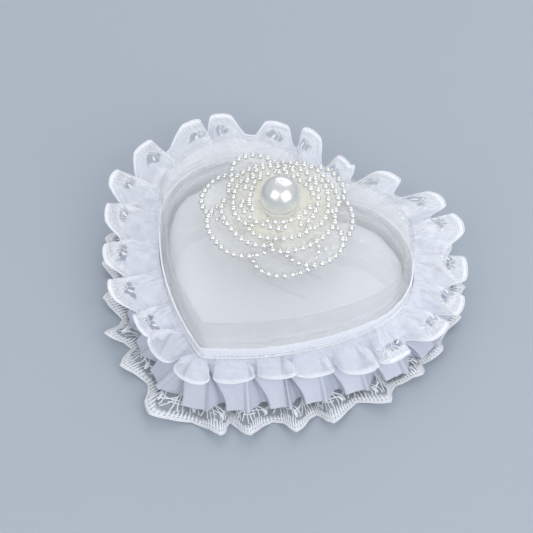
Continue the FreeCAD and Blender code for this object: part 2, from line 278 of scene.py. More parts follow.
# ---- Material helpers ------------------------------------------------------------------
def new_material(name):
    material = bpy.data.materials.new(name)
    material.use_nodes = True
    nodes, links = material.node_tree.nodes, material.node_tree.links
    return material, nodes, links, nodes["Principled BSDF"]


def math_node(nodes, links, operation, *values):
    """Output of a Math node whose inputs are numbers or sockets."""
    node = nodes.new("ShaderNodeMath")
    node.operation = operation
    for i, value in enumerate(values):
        if isinstance(value, (int, float)):
            node.inputs[i].default_value = value
        else:
            links.new(value, node.inputs[i])
    return node.outputs[0]


def group_tree(name, ins, outs):
    tree = bpy.data.node_groups.new(name, "ShaderNodeTree")
    for label, kind, default in ins:
        socket = tree.interface.new_socket(label, in_out="INPUT", socket_type=kind)
        if default is not None:
            socket.default_value = default
    for label, kind in outs:
        tree.interface.new_socket(label, in_out="OUTPUT", socket_type=kind)
    entry, leave = tree.nodes.new("NodeGroupInput"), tree.nodes.new("NodeGroupOutput")
    return tree, tree.nodes, tree.links, entry, leave


def parted(nodes, links, vector):
    """The X, Y and Z of a vector."""
    split = nodes.new("ShaderNodeSeparateXYZ")
    links.new(vector, split.inputs[0])
    return split.outputs


def shaken(nodes, links, vector, scale, reach):
    """X, Y and Z of coordinates that noise moves a little, so that a repeat isn't exact."""
    stir = nodes.new("ShaderNodeTexNoise")
    stir.inputs["Scale"].default_value = scale
    links.new(vector, stir.inputs["Vector"])
    shift = nodes.new("ShaderNodeVectorMath")
    shift.operation = "MULTIPLY_ADD"
    links.new(stir.outputs["Color"], shift.inputs[0])
    shift.inputs[1].default_value = (reach, reach, 0.0)
    links.new(vector, shift.inputs[2])
    return parted(nodes, links, shift.outputs[0])


def colour_mix(nodes, links, share, one, other):
    """Mix of two colours, each given as a socket or as red, green and blue."""
    mix = nodes.new("ShaderNodeMix")
    mix.data_type = "RGBA"
    links.new(share, mix.inputs["Factor"])
    for slot, colour in ((6, one), (7, other)):
        if isinstance(colour, tuple):
            mix.inputs[slot].default_value = (*colour, 1)
        else:
            links.new(colour, mix.inputs[slot])
    return mix.outputs[2]


def weave_group():
    """Plain weave: two sets of threads that pass over and under each other."""
    tree, nodes, links, entry, leave = group_tree(
        "plain_weave",
        [("Vector", "NodeSocketVector", None), ("Threads", "NodeSocketFloat", 100.0)],
        [("Height", "NodeSocketFloat"), ("Gap", "NodeSocketFloat")])
    axes = parted(nodes, links, entry.outputs["Vector"])
    waves = []
    for axis in ("X", "Y"):
        run = math_node(nodes, links, "MULTIPLY", axes[axis], entry.outputs["Threads"])
        turn = math_node(nodes, links, "MULTIPLY", run, TAU)
        waves.append(math_node(nodes, links, "SINE", turn))
    product = math_node(nodes, links, "MULTIPLY", waves[0], waves[1])
    height = math_node(nodes, links, "MULTIPLY_ADD", product, 0.5, 0.5)
    most = math_node(nodes, links, "MAXIMUM", waves[0], waves[1])
    gap = math_node(nodes, links, "LESS_THAN", most, -0.2)
    links.new(height, leave.inputs["Height"])
    links.new(gap, leave.inputs["Gap"])
    return tree


def net_group():
    """Lace net: threads in two slanting directions, a little uneven."""
    tree, nodes, links, entry, leave = group_tree(
        "lace_net",
        [("Vector", "NodeSocketVector", None), ("Meshes", "NodeSocketFloat", 8.0),
         ("Thread", "NodeSocketFloat", 0.16)],
        [("Cover", "NodeSocketFloat")])
    axes = shaken(nodes, links, entry.outputs["Vector"], scale=1.7, reach=0.16)
    sets = []
    for operation in ("ADD", "SUBTRACT"):
        slant = math_node(nodes, links, operation, axes["X"], axes["Y"])
        run = math_node(nodes, links, "MULTIPLY", slant, entry.outputs["Meshes"])
        step = math_node(nodes, links, "FRACT", run)
        away = math_node(nodes, links, "PINGPONG", step, 0.5)
        sets.append(math_node(nodes, links, "LESS_THAN", away, entry.outputs["Thread"]))
    links.new(math_node(nodes, links, "MAXIMUM", sets[0], sets[1]), leave.inputs["Cover"])
    return tree


def mottle_group():
    """Slow, soft change of tone over a surface."""
    tree, nodes, links, entry, leave = group_tree(
        "soft_mottle",
        [("Vector", "NodeSocketVector", None), ("Scale", "NodeSocketFloat", 30.0),
         ("Dark", "NodeSocketColor", (0.8, 0.8, 0.8, 1)),
         ("Light", "NodeSocketColor", (0.9, 0.9, 0.9, 1))],
        [("Color", "NodeSocketColor"), ("Value", "NodeSocketFloat")])
    cloud = nodes.new("ShaderNodeTexNoise")
    cloud.inputs["Detail"].default_value = 3.0
    links.new(entry.outputs["Vector"], cloud.inputs["Vector"])
    links.new(entry.outputs["Scale"], cloud.inputs["Scale"])
    tone = colour_mix(nodes, links, cloud.outputs["Fac"], entry.outputs["Dark"],
                      entry.outputs["Light"])
    links.new(tone, leave.inputs["Color"])
    links.new(cloud.outputs["Fac"], leave.inputs["Value"])
    return tree


def hem_band_group():
    """1 along the hem of a ruffle and 0 in its ground. Widths are in centimetres of cloth."""
    tree, nodes, links, entry, leave = group_tree(
        "hem_band",
        [("Vector", "NodeSocketVector", None), ("Cloth", "NodeSocketFloat", 2.2),
         ("Band", "NodeSocketFloat", 0.4)],
        [("Value", "NodeSocketFloat")])
    axes = parted(nodes, links, entry.outputs["Vector"])
    start = math_node(nodes, links, "SUBTRACT", entry.outputs["Cloth"], entry.outputs["Band"])
    past = math_node(nodes, links, "SUBTRACT", axes["Y"], start)
    value = math_node(nodes, links, "MULTIPLY_ADD", past, 7.0, 0.5)
    value.node.use_clamp = True
    links.new(value, leave.inputs["Value"])
    return tree


def opening_group():
    """1 inside an uneven opening that repeats along the cloth, 0 outside it. The cloth
    between Plain from and Plain to has none. Lengths are in centimetres of cloth."""
    tree, nodes, links, entry, leave = group_tree(
        "lace_opening",
        [("Vector", "NodeSocketVector", None), ("Repeat", "NodeSocketFloat", 2.5),
         ("Row", "NodeSocketFloat", 1.5), ("Half width", "NodeSocketFloat", 0.5),
         ("Half height", "NodeSocketFloat", 0.3), ("Plain from", "NodeSocketFloat", 0.0),
         ("Plain to", "NodeSocketFloat", 0.0)],
        [("Value", "NodeSocketFloat"), ("Plain", "NodeSocketFloat")])
    axes = shaken(nodes, links, entry.outputs["Vector"], scale=3.4, reach=0.5)
    turns = math_node(nodes, links, "DIVIDE", axes["X"], entry.outputs["Repeat"])
    near = math_node(nodes, links, "SUBTRACT", turns, math_node(nodes, links, "ROUND", turns))
    across = math_node(nodes, links, "MULTIPLY", near, entry.outputs["Repeat"])
    across = math_node(nodes, links, "DIVIDE", across, entry.outputs["Half width"])
    down = math_node(nodes, links, "SUBTRACT", axes["Y"], entry.outputs["Row"])
    down = math_node(nodes, links, "DIVIDE", down, entry.outputs["Half height"])
    square = math_node(nodes, links, "MULTIPLY", across, across)
    away = math_node(nodes, links, "MULTIPLY_ADD", down, down, square)
    value = math_node(nodes, links, "MULTIPLY_ADD", away, -3.0, 3.0)
    value.node.use_clamp = True
    before = math_node(nodes, links, "LESS_THAN", axes["X"], entry.outputs["Plain from"])
    after = math_node(nodes, links, "GREATER_THAN", axes["X"], entry.outputs["Plain to"])
    open_here = math_node(nodes, links, "MAXIMUM", before, after)
    links.new(math_node(nodes, links, "MULTIPLY", value, open_here), leave.inputs["Value"])
    links.new(math_node(nodes, links, "SUBTRACT", 1.0, open_here), leave.inputs["Plain"])
    return tree


WEAVE, NET, MOTTLE = weave_group(), net_group(), mottle_group()
HEM_BAND, OPENING = hem_band_group(), opening_group()


def placed_group(nodes, tree, **values):
    node = nodes.new("ShaderNodeGroup")
    node.node_tree = tree
    for key, value in values.items():
        node.inputs[key].default_value = value
    return node


def coordinates(nodes, kind):
    return nodes.new("ShaderNodeTexCoord").outputs[kind]


def bump(nodes, links, height, shader, strength, distance=0.1 * MM):
    node = nodes.new("ShaderNodeBump")
    node.inputs["Strength"].default_value = strength
    node.inputs["Distance"].default_value = distance
    links.new(height, node.inputs["Height"])
    links.new(node.outputs["Normal"], shader.inputs["Normal"])


def base_tone(nodes, links, shader, vector, dark, light, scale):
    """Base colour that changes slowly between dark and light; gives the tone's node."""
    tone = placed_group(nodes, MOTTLE, Scale=scale, Dark=(*dark, 1), Light=(*light, 1))
    links.new(vector, tone.inputs["Vector"])
    links.new(tone.outputs["Color"], shader.inputs["Base Color"])
    return tone


def weave_height(nodes, links, vector, threads):
    weave = placed_group(nodes, WEAVE, Threads=threads)
    links.new(vector, weave.inputs["Vector"])
    return weave.outputs["Height"]


def set_inputs(shader, values):
    for socket, value in values.items():
        shader.inputs[socket].default_value = value


def cloth_material(name, dark, light, threads, where="UV", mottle=12.0, roughness=0.6, sheen=0.3,
                   anisotropy=0.0, strength=0.25):
    """Woven cloth with a visible weave and a slight change of tone."""
    material, nodes, links, shader = new_material(name)
    vector = coordinates(nodes, where)
    base_tone(nodes, links, shader, vector, dark, light, mottle)
    bump(nodes, links, weave_height(nodes, links, vector, threads), shader, strength)
    set_inputs(shader, {"Roughness": roughness, "Sheen Weight": sheen, "Sheen Roughness": 0.4,
                        "Anisotropic": anisotropy})
    return material


def sheer_material(name, dark, light, cover, painted_glow):
    """Organza: thin cloth that shows what is behind it, closer where it is denser."""
    material, nodes, links, shader = new_material(name)
    vector = coordinates(nodes, "UV")
    tone = base_tone(nodes, links, shader, vector, dark, light, 3.0)
    height = weave_height(nodes, links, vector, 14.0)
    spread = math_node(nodes, links, "MULTIPLY_ADD", tone.outputs["Value"], 0.35, cover - 0.17)
    woven = math_node(nodes, links, "MULTIPLY_ADD", height, 0.16, -0.08)
    alpha = math_node(nodes, links, "ADD", spread, woven)
    links.new(alpha, shader.inputs["Alpha"])
    bump(nodes, links, height, shader, 0.15)
    # Painted light: the organza gives off its own colour as a glow, so it looks lit through though
    # it is no lamp.
    links.new(tone.outputs["Color"], shader.inputs["Emission Color"])
    set_inputs(shader, {"Emission Strength": painted_glow, "Roughness": 0.42, "Sheen Weight": 0.25})
    return material


def lace_material(name, dark, light, ground, band, cloth, width, opening=None, net=None):
    """Lace cloth: ground and band are the shares that its ground and its hem band cover.
    cloth is its width and width its band's, in centimetres. opening is (repeat, row, half
    width, half height, plain from, plain to), and net is (meshes, thread, cover)."""
    material, nodes, links, shader = new_material(name)
    vector = coordinates(nodes, "UV")
    tone = base_tone(nodes, links, shader, vector, dark, light, 2.5)
    hem = placed_group(nodes, HEM_BAND, Cloth=cloth, Band=width)
    links.new(vector, hem.inputs["Vector"])
    spread = math_node(nodes, links, "MULTIPLY_ADD", tone.outputs["Value"], 0.3, ground - 0.15)
    alpha = math_node(nodes, links, "MULTIPLY_ADD", hem.outputs["Value"], band - ground, spread)
    if opening:
        gap = placed_group(nodes, OPENING)
        for key, value in zip(("Repeat", "Row", "Half width", "Half height", "Plain from",
                               "Plain to"), opening):
            gap.inputs[key].default_value = value
        links.new(vector, gap.inputs["Vector"])
        kept = math_node(nodes, links, "MULTIPLY_ADD", gap.outputs["Value"], -0.85, 1.0)
        kept = math_node(nodes, links, "MULTIPLY_ADD", gap.outputs["Plain"], -0.3, kept)
        alpha = math_node(nodes, links, "MULTIPLY", alpha, kept)
    height = weave_height(nodes, links, vector, 12.0)
    if net:
        mesh = placed_group(nodes, NET, Meshes=net[0], Thread=net[1])
        links.new(vector, mesh.inputs["Vector"])
        alpha = math_node(nodes, links, "MULTIPLY_ADD", mesh.outputs["Cover"], net[2], alpha)
        height = mesh.outputs["Cover"]
    alpha.node.use_clamp = True
    links.new(alpha, shader.inputs["Alpha"])
    bump(nodes, links, height, shader, 0.25)
    # Painted light: a faint emission of the lace's own colour brightens it as if lit through; it is
    # no lamp.
    links.new(tone.outputs["Color"], shader.inputs["Emission Color"])
    set_inputs(shader, {"Emission Strength": 0.07, "Roughness": 0.6, "Sheen Weight": 0.2})
    return material


def thread_material(name, dark, light):
    """Twisted sewing thread and cord."""
    material, nodes, links, shader = new_material(name)
    vector = coordinates(nodes, "UV")
    base_tone(nodes, links, shader, vector, dark, light, 6.0)
    bump(nodes, links, weave_height(nodes, links, vector, 28.0), shader, 0.5)
    set_inputs(shader, {"Roughness": 0.55, "Sheen Weight": 0.3})
    return material


def pearl_material(name, dark, light, scale, roughness, metallic, coat):
    """Plastic pearl: a glossy coat over a soft, slightly metallic body."""
    material, nodes, links, shader = new_material(name)
    base_tone(nodes, links, shader, coordinates(nodes, "Object"), dark, light, scale)
    set_inputs(shader, {"Metallic": metallic, "Roughness": roughness, "Coat Weight": coat,
                        "Coat Roughness": 0.06})
    return material


def clear_plastic_material(name, tint, wear):
    """Clear moulded plastic with faint flow marks and scuffs; lets the lamps through."""
    material, nodes, links, shader = new_material(name)
    tone = base_tone(nodes, links, shader, coordinates(nodes, "Object"), tint, (1, 1, 1), wear)
    rough = math_node(nodes, links, "MULTIPLY_ADD", tone.outputs["Value"], 0.05, 0.0)
    links.new(rough, shader.inputs["Roughness"])
    set_inputs(shader, {"Transmission Weight": 0.7, "IOR": 1.4, "Alpha": 0.3})
    clear = nodes.new("ShaderNodeBsdfTransparent")
    clear.inputs["Color"].default_value = (0.97, 0.98, 1.0, 1)
    path = nodes.new("ShaderNodeLightPath")
    mix = nodes.new("ShaderNodeMixShader")
    links.new(path.outputs["Is Shadow Ray"], mix.inputs["Fac"])
    links.new(shader.outputs[0], mix.inputs[1])
    links.new(clear.outputs[0], mix.inputs[2])
    links.new(mix.outputs[0], nodes["Material Output"].inputs["Surface"])
    return material


def finish_node(node, material):
    """Gives a CAD node that stays in view its material."""
    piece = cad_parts[node]
    piece.data.materials.clear()
    piece.data.materials.append(material)


def dress(piece, material):
    """Gives a new piece its material."""
    piece.data.materials.append(material)


# ---- Materials -------------------------------------------------------------------------
SATIN = cloth_material("ribbon_satin", (0.47, 0.50, 0.58), (0.54, 0.57, 0.655), 60.0,
                       roughness=0.30, sheen=0.25, anisotropy=0.6, strength=0.12)
PAD_SATIN = cloth_material("cushion_satin", (0.555, 0.57, 0.585), (0.62, 0.63, 0.645), 2600.0,
                           where="Object", mottle=25.0, roughness=0.55, sheen=0.2, strength=0.05)
TAPE = cloth_material("woven_tape", (0.78, 0.80, 0.84), (0.86, 0.88, 0.91), 900.0,
                      where="Object", mottle=60.0, roughness=0.8, strength=0.4)
FELT = cloth_material("felt", (0.82, 0.81, 0.76), (0.90, 0.89, 0.84), 2200.0, where="Object",
                      mottle=400.0, roughness=0.95, sheen=0.6, strength=0.4)
CARD = cloth_material("card", (0.70, 0.69, 0.66), (0.78, 0.77, 0.74), 3000.0, where="Object",
                      mottle=300.0, roughness=0.9, sheen=0.0, strength=0.1)
MOULDED = cloth_material("moulded_white", (0.84, 0.84, 0.80), (0.88, 0.88, 0.84), 10.0,
                         where="Object", mottle=80.0, roughness=0.4, sheen=0.0, strength=0.0)
UPPER_OPENING = (UPPER_CLOTH / UPPER_FOLDS * CM, 1.70, 0.55, 0.22,
                 PLAIN_FROM * UPPER_CLOTH * CM, PLAIN_TO * UPPER_CLOTH * CM)
UPPER_LACE = lace_material("upper_lace_cloth", (0.86, 0.88, 0.94), (0.94, 0.95, 0.99),
                           ground=0.50, band=0.80, cloth=UPPER_WIDTH * CM, width=0.20,
                           opening=UPPER_OPENING)
LOWER_LACE = lace_material("lower_lace_cloth", (0.74, 0.77, 0.82), (0.86, 0.88, 0.92),
                           ground=0.08, band=0.46, cloth=LOWER_WIDTH * CM, width=0.40,
                           net=(6.5, 0.06, 0.26))
THREAD = thread_material("lace_thread", (0.80, 0.83, 0.87), (0.92, 0.93, 0.96))
# The petals' glow below is painted light: an emission that stands in for light passing through the
# sheer organza.
PETAL_OUTER = sheer_material("organza_white", (0.90, 0.91, 0.90), (0.95, 0.96, 0.95), 0.26,
                             painted_glow=0.18)
PETAL_INNER = sheer_material("organza_cream", (0.90, 0.89, 0.82), (0.95, 0.945, 0.89), 0.32,
                             painted_glow=0.24)
SMALL_PEARL = pearl_material("small_pearl", (0.70, 0.71, 0.68), (0.93, 0.93, 0.91), scale=500.0,
                             roughness=0.16, metallic=0.8, coat=1.0)
BIG_PEARL = pearl_material("big_pearl", (0.70, 0.71, 0.69), (0.92, 0.92, 0.90), scale=110.0,
                           roughness=0.24, metallic=0.65, coat=0.3)
CLEAR = clear_plastic_material("clear_moulded_plastic", (0.985, 0.99, 1.0), 40.0)


# ---- CAD nodes that stay in view -------------------------------------------------------
FINISHES = {
    "tray_shell": CLEAR, "lid_shell": CLEAR, "upper_lace_tape": TAPE, "satin_tape": TAPE,
    "lower_lace_tape": TAPE, "cushion_board": CARD, "flower_backing": FELT,
    "flower_post": MOULDED, "pearl_cup": MOULDED, "big_pearl": BIG_PEARL}
for node, material in FINISHES.items():
    finish_node(node, material)


# ---- Ruffles ---------------------------------------------------------------------------
OFF_TABLE = 0.3
WORK_LIFT = 0.12  # needlework lies this far above its cloth's middle


class Ruffle:
    """Cloth gathered on to the tray's wall in folds.

    place(turn, down) gives a point of it: turn runs round the cloth, down is 0 at the
    gathers and 1 at the hem. A fold's crest and its valley each have a reach from the wall
    and a hem height that change round the heart. form gives, round the heart, how far the
    cloth swings sideways, how blunt the folds are and how far they lean over."""

    TYPICAL_PITCH, TYPICAL_DEPTH = 18.0, 8.0
    FLANK_FOOT, FLANK = 0.42, 0.27  # where a blunt fold's flank ends and its breadth, in turns
    UNEVEN_REACH, UNEVEN_HEM, UNEVEN_ROLL = 1.4, 1.2, 3.2
    WRINKLES, WRINKLE_ROWS, WRINKLE_DEPTH = 70, 2.2, 0.9
    STITCHES = 6  # gathering stitches to a fold
    OUTLINE = 350  # length of the tray's outline

    def __init__(self, seed, folds, root, crest, valley, bulge, hook=0.12, broad=0.20,
                 lean=0.26, start=0.9, gathers=0.45, form=((0.0, (1.0, 0.0, 0.0)),)):
        draw = random.Random(seed)
        self.seed, self.folds, self.root, self.start = seed, folds, root, start
        self.crest, self.valley, self.bulge = crest, valley, bulge
        self.hook, self.broad, self.gathers = hook, broad, gathers
        self.form = list(form)
        self.lean = [draw.uniform(-lean, lean) for _ in range(folds)]
        self.out = [draw.uniform(-1.0, 1.0) for _ in range(folds)]
        self.rise = [draw.uniform(-1.0, 1.0) for _ in range(folds)]
        self.roll = [draw.uniform(-1.0, 1.0) for _ in range(folds)]
        self.phases = self.even_phases(self.TYPICAL_PITCH, self.TYPICAL_DEPTH)

    def height(self, phase, blunt=0.0):
        """Share of the way from valley to crest: round, or blunt with straight flanks."""
        rounded = (0.5 + 0.5 * math.cos(TAU * phase)) ** 1.5
        away = min(phase, 1 - phase)
        straight = min(max((self.FLANK_FOOT - away) / self.FLANK, 0.0), 1.0)
        return rounded + (straight - rounded) * blunt

    def shift(self, phase):
        """Sideways move of the fold, as a share of the folds' pitch."""
        return (self.hook * math.sin(2 * TAU * phase) + self.broad * math.sin(TAU * phase))

    def even_phases(self, pitch, deep, steps=240):
        """Phases that are evenly spaced along the folded cloth."""
        path, lengths = [], [0.0]
        for i in range(steps + 1):
            phase = i / steps
            path.append(Vector((pitch * (phase + self.shift(phase)), deep * self.height(phase))))
            if i:
                lengths.append(lengths[-1] + (path[-1] - path[-2]).length)
        phases, at = [], 0
        for i in range(steps + 1):
            want = lengths[-1] * i / steps
            while at < steps - 1 and lengths[at + 1] < want:
                at += 1
            share = (want - lengths[at]) / max(lengths[at + 1] - lengths[at], 1e-9)
            phases.append((at + share) / steps)
        return phases

    def phase_of(self, share):
        place = share * (len(self.phases) - 1)
        low = min(int(place), len(self.phases) - 2)
        return self.phases[low] + (self.phases[low + 1] - self.phases[low]) * (place - low)

    def uneven(self, values, cell):
        """Value for each fold, changing smoothly from one to the next."""
        low = math.floor(cell)
        share = smooth(cell - low)
        return (values[low % self.folds] * (1 - share)
                + values[(low + 1) % self.folds] * share)

    def place(self, turn, down, lift=0.0):
        down = max(down, 0.0)
        cell = turn * self.folds
        whole = math.floor(cell)
        phase = self.phase_of(cell - whole)
        growth = smooth(down * 1.5)
        at = (whole + phase + self.uneven(self.lean, cell) * growth) / self.folds
        breadth, blunt, skew = around(self.form, at)
        high = 0.5 + (self.height(phase, blunt) - 0.5) * smooth(down * 2.2)
        crest_out, crest_z = around(self.crest, at)
        valley_out, valley_z = around(self.valley, at)
        crest_out += self.uneven(self.out, cell) * self.UNEVEN_REACH
        crest_z += self.uneven(self.rise, cell) * self.UNEVEN_HEM
        reach = valley_out + (crest_out - valley_out) * high
        hem = valley_z + (crest_z - valley_z) * high
        offset = self.start + (reach - self.start) * down
        z = self.root + (hem - self.root) * down
        z += self.bulge * (1.4 * high - 0.5) * math.sin(math.pi * down ** 0.8)
        stir = noise.noise(Vector((turn * self.WRINKLES, down * self.WRINKLE_ROWS, self.seed)))
        z += stir * self.WRINKLE_DEPTH * down + lift
        near_root = smooth(down * 8) * (1 - smooth(down * 2.2))
        z += self.gathers * math.sin(TAU * turn * self.folds * self.STITCHES) * near_root
        point, out = heart.at(at, offset)
        pitch = (self.OUTLINE + TAU * offset) / self.folds
        side = (self.shift(phase) * breadth + skew * math.cos(TAU * phase)) * pitch * growth
        side += self.uneven(self.roll, cell) * (high - 0.3) * self.UNEVEN_ROLL * down ** 2
        return point.x + out.y * side, point.y - out.x * side, max(z, OFF_TABLE)

    def sheet(self, name, columns, rows, cloth_length, cloth_width, hem=None):
        """Cloth as a mesh of columns round the heart and rows from the gathers to the hem."""
        points, uvs = [], []
        for j in range(rows):
            for i in range(columns):
                turn = i / columns
                down = j / (rows - 1) * (hem(turn) if hem else 1.0)
                points.append(self.place(turn, down))
                uvs.append((turn * cloth_length * CM, down * cloth_width * CM))
        piece = new_piece(name, points, closed_grid(columns, rows), "base", uvs)
        seam_uvs(piece, cloth_length * CM)
        return piece


def seam_uvs(piece, length):
    """Where the last column joins the first, the pattern runs on to the cloth's end."""
    layer = piece.data.uv_layers["cloth"]
    for face in piece.data.polygons:
        us = [layer.data[i].uv.x for i in face.loop_indices]
        if max(us) - min(us) > length / 2:
            for i in face.loop_indices:
                if layer.data[i].uv.x < length / 2:
                    layer.data[i].uv.x += length


def hem_cord(name, ruffle, columns, edge, radius, sides=6):
    """Closed cord that runs round the heart along a ruffle's hem."""
    line = [Vector(ruffle.place(i / columns, edge(i / columns))) for i in range(columns)]
    points, faces, uvs = [], [], []
    count = len(line)
    for i, spot in enumerate(line):
        run = line[(i + 1) % count] - line[i - 1]
        turn = run.to_track_quat("X", "Z")
        for k in range(sides):
            a = TAU * k / sides
            points.append(spot + turn @ Vector((0, radius * math.cos(a), radius * math.sin(a))))
            uvs.append((i * CORD_UV_STEP, k * CM))
    for i in range(count):
        for k in range(sides):
            a, b = i * sides, ((i + 1) % count) * sides
            n = (k + 1) % sides
            faces.append((a + k, a + n, b + n, b + k))
    return new_piece(name, points, faces, "base", uvs)


# Upper lace: wide and nearly level at the back and sides, short rounded cups at the front.
upper = Ruffle(
    7, UPPER_FOLDS, root=20.4,
    crest=[(0.0, (25.0, 22.0)), (0.1, (27.0, 21.5)), (0.2, (22.5, 17.5)), (0.26, (19.0, 16.8)),
           (0.316, (16.8, 17.0)), (0.36, (15.5, 17.2)), (0.4, (13.2, 17.4)), (0.5, (13.4, 17.4)),
           (0.56, (16.0, 17.0)), (0.62, (23.0, 17.6)), (0.7, (24.5, 18.0)), (0.76, (28.0, 19.5)),
           (0.85, (30.0, 21.5)), (0.93, (27.0, 22.5))],
    valley=[(0.0, (18.0, 17.5)), (0.1, (20.0, 17.0)), (0.2, (15.5, 13.5)), (0.26, (10.5, 12.0)),
            (0.316, (9.0, 12.0)), (0.36, (6.5, 12.5)), (0.4, (4.0, 13.0)), (0.5, (4.0, 13.0)),
            (0.56, (8.5, 12.5)), (0.62, (16.5, 14.5)), (0.7, (18.5, 15.5)), (0.76, (21.5, 17.0)),
            (0.85, (23.0, 18.5)), (0.93, (20.0, 19.0))],
    bulge=1.1, form=((0.0, (0.3, 0.7, 0.0)), (0.15, (0.4, 0.8, 0.0)), (0.24, (0.5, 0.9, 0.0)),
                     (0.3, (0.7, 0.5, 0.0)), (0.36, (1.0, 0.0, 0.0)), (0.54, (1.0, 0.0, 0.0)),
                     (0.6, (0.4, 0.8, 0.1)), (0.8, (0.2, 0.9, 0.14)), (0.92, (0.3, 0.8, 0.0))))


def upper_edge(turn):
    """How far down the cloth is cut: one scallop to each fold."""
    return 0.90 + 0.10 * abs(math.cos(math.pi * turn * UPPER_FOLDS)) ** 0.8


upper_sheet = upper.sheet("upper_ruffle", UPPER_COLUMNS, UPPER_ROWS, UPPER_CLOTH, UPPER_WIDTH,
                          upper_edge)
dress(upper_sheet, UPPER_LACE)
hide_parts("upper_lace_ruffle")


def upper_place(x, y):
    return upper.place(x / UPPER_CLOTH, y / UPPER_WIDTH, lift=WORK_LIFT)


def upper_needlework():
    """Two drawn lines inside the hem with bars between them, and in each scallop a spray of
    branching threads with two leaves."""
    work = Needlework()
    repeat = UPPER_CLOTH / UPPER_FOLDS
    lines, line_width, bars = (1.7, 2.4), 0.28, 18
    spray_width, stem_width = 0.42, 0.34

    def hem(x):
        return upper_edge(x / UPPER_CLOTH) * UPPER_WIDTH

    for depth in lines:
        for first, last in ((0, PLAIN_FROM), (PLAIN_TO, 1)):
            start, end = round(UPPER_COLUMNS * first), round(UPPER_COLUMNS * last)
            run = [UPPER_CLOTH * i / UPPER_COLUMNS for i in range(start, end + 1)]
            work.thread([(x, hem(x) - depth) for x in run], line_width)
    for i in range(UPPER_FOLDS * bars):
        x = repeat * i / bars
        if not PLAIN_FROM < x / UPPER_CLOTH < PLAIN_TO:
            work.thread([(x, hem(x) - depth) for depth in lines], line_width)
    draw = random.Random(3)
    for i in range(UPPER_FOLDS):
        if PLAIN_FROM < i / UPPER_FOLDS < PLAIN_TO:
            continue
        middle, crown = repeat * i + draw.uniform(-1, 1), UPPER_WIDTH - 5.0
        for k in range(-2, 3):
            bend = draw.uniform(-0.6, 0.6)
            work.thread([(middle + 0.9 * k, crown - 2.4), (middle + 1.8 * k + bend, crown),
                         (middle + 2.3 * k, crown + 2.6)], spray_width)
        for side in (-1, 1):
            work.leaf((middle + side * 3.4, crown - 2.0), -math.pi / 2 + side * 0.9, 3.2, 1.2)
            work.thread([(middle + side * 1.4, crown - 2.6), (middle + side * 3.8, crown - 5.6),
                         (middle + side * 2.4, crown - 8.6), (middle + side * 3.6, crown - 12.0)],
                        stem_width, taper=True)
    return work


upper_work = upper_needlework().laid("upper_ruffle_needlework", "base", upper_place, 0.18)
dress(upper_work, THREAD)
upper_cord = hem_cord("upper_ruffle_edge", upper, UPPER_COLUMNS, upper_edge, 0.36)
dress(upper_cord, THREAD)
upper_flat, upper_area = strip_cut(upper_sheet, UPPER_COLUMNS, UPPER_ROWS)


# Satin ribbon: flat pleats sewn shut at the top that open towards the hem.
class Pleats(Ruffle):
    """Each pleat is a flat panel, then a recess: a short steep facet that goes back, and a
    slanting fold that comes forward to the next panel. Heights are shares of the way from
    the recess to the panel, and RIDGE is the raised edge of a panel."""

    RIDGE = 1.34
    OPENING, SEWN_SHUT = 0.46, 0.02  # how far a pleat opens at the hem and at the top

    def even_phases(self, pitch, deep, steps=240):
        return [i / steps for i in range(steps + 1)]

    def profile(self, share, down):
        """(place along the pitch, height) of a share of the cloth."""
        opening = self.OPENING * smooth(down * 1.05) + self.SEWN_SHUT
        panel = 1 - opening
        stops = ((0.0, 0.0, self.RIDGE), (0.03, 0.035, 1.24), (0.07, 0.075, 1.0),
                 (0.28, panel * 0.5, 0.93), (0.47, panel, 1.0),
                 (0.60, panel + opening * 0.10, 0.02), (0.70, panel + opening * 0.34, 0.0),
                 (0.93, 0.96, 1.0), (0.97, 0.98, 1.28), (1.0, 1.0, self.RIDGE))
        for (a, x, h), (b, x2, h2) in zip(stops, stops[1:]):
            if share <= b:
                part = (share - a) / (b - a)
                return x + (x2 - x) * part, h + (h2 - h) * part
        return 1.0, self.RIDGE

    def place(self, turn, down, lift=0.0):
        down = max(down, 0.0)
        cell = turn * self.folds
        whole = math.floor(cell)
        along, high = self.profile(cell - whole, down)
        middle = self.uneven(self.lean, whole) * 0.5
        swing = self.uneven(self.lean, cell) * 0.4 * down
        at = (whole + along + middle + swing) / self.folds
        crest_out, crest_z = around(self.crest, at)
        valley_out, valley_z = around(self.valley, at)
        reach = valley_out + (crest_out - valley_out) * high
        hem = valley_z + (crest_z - valley_z) * high
        offset = self.start + (reach - self.start) * down ** 0.92
        z = self.root + (hem - self.root) * down + self.bulge * math.sin(math.pi * down)
        stir = noise.noise(Vector((turn * 40, down * 1.6, self.seed)))
        point, out = heart.at(at, offset + stir * 0.25 * down)
        return point.x, point.y, z + stir * 0.3 * down + lift


satin = Pleats(
    11, SATIN_PLEATS, root=16.6,
    crest=[(0.0, (17.0, 6.0)), (0.3, (17.6, 5.6)), (0.5, (17.2, 5.4)), (0.7, (17.4, 5.8))],
    valley=[(0.0, (12.6, 4.4)), (0.3, (12.8, 3.9)), (0.5, (12.4, 3.7)), (0.7, (12.8, 4.0))],
    bulge=0.6, lean=0.16)
satin_sheet = satin.sheet("satin_pleats", SATIN_COLUMNS, SATIN_ROWS, SATIN_CLOTH, SATIN_WIDTH)
dress(satin_sheet, SATIN)
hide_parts("satin_pleated_ruffle")
satin_flat, satin_area = strip_cut(satin_sheet, SATIN_COLUMNS, SATIN_ROWS)


# Lower lace: open needlework in angular folds, whose hem stands on the table.
class AngularRuffle(Ruffle):
    """Folds with straight flanks and sharp crests."""

    def height(self, phase, blunt=0.0):
        straight = abs(phase % 1.0 - 0.5) * 2
        return 0.92 * straight + 0.08 * (0.5 + 0.5 * math.cos(TAU * phase))


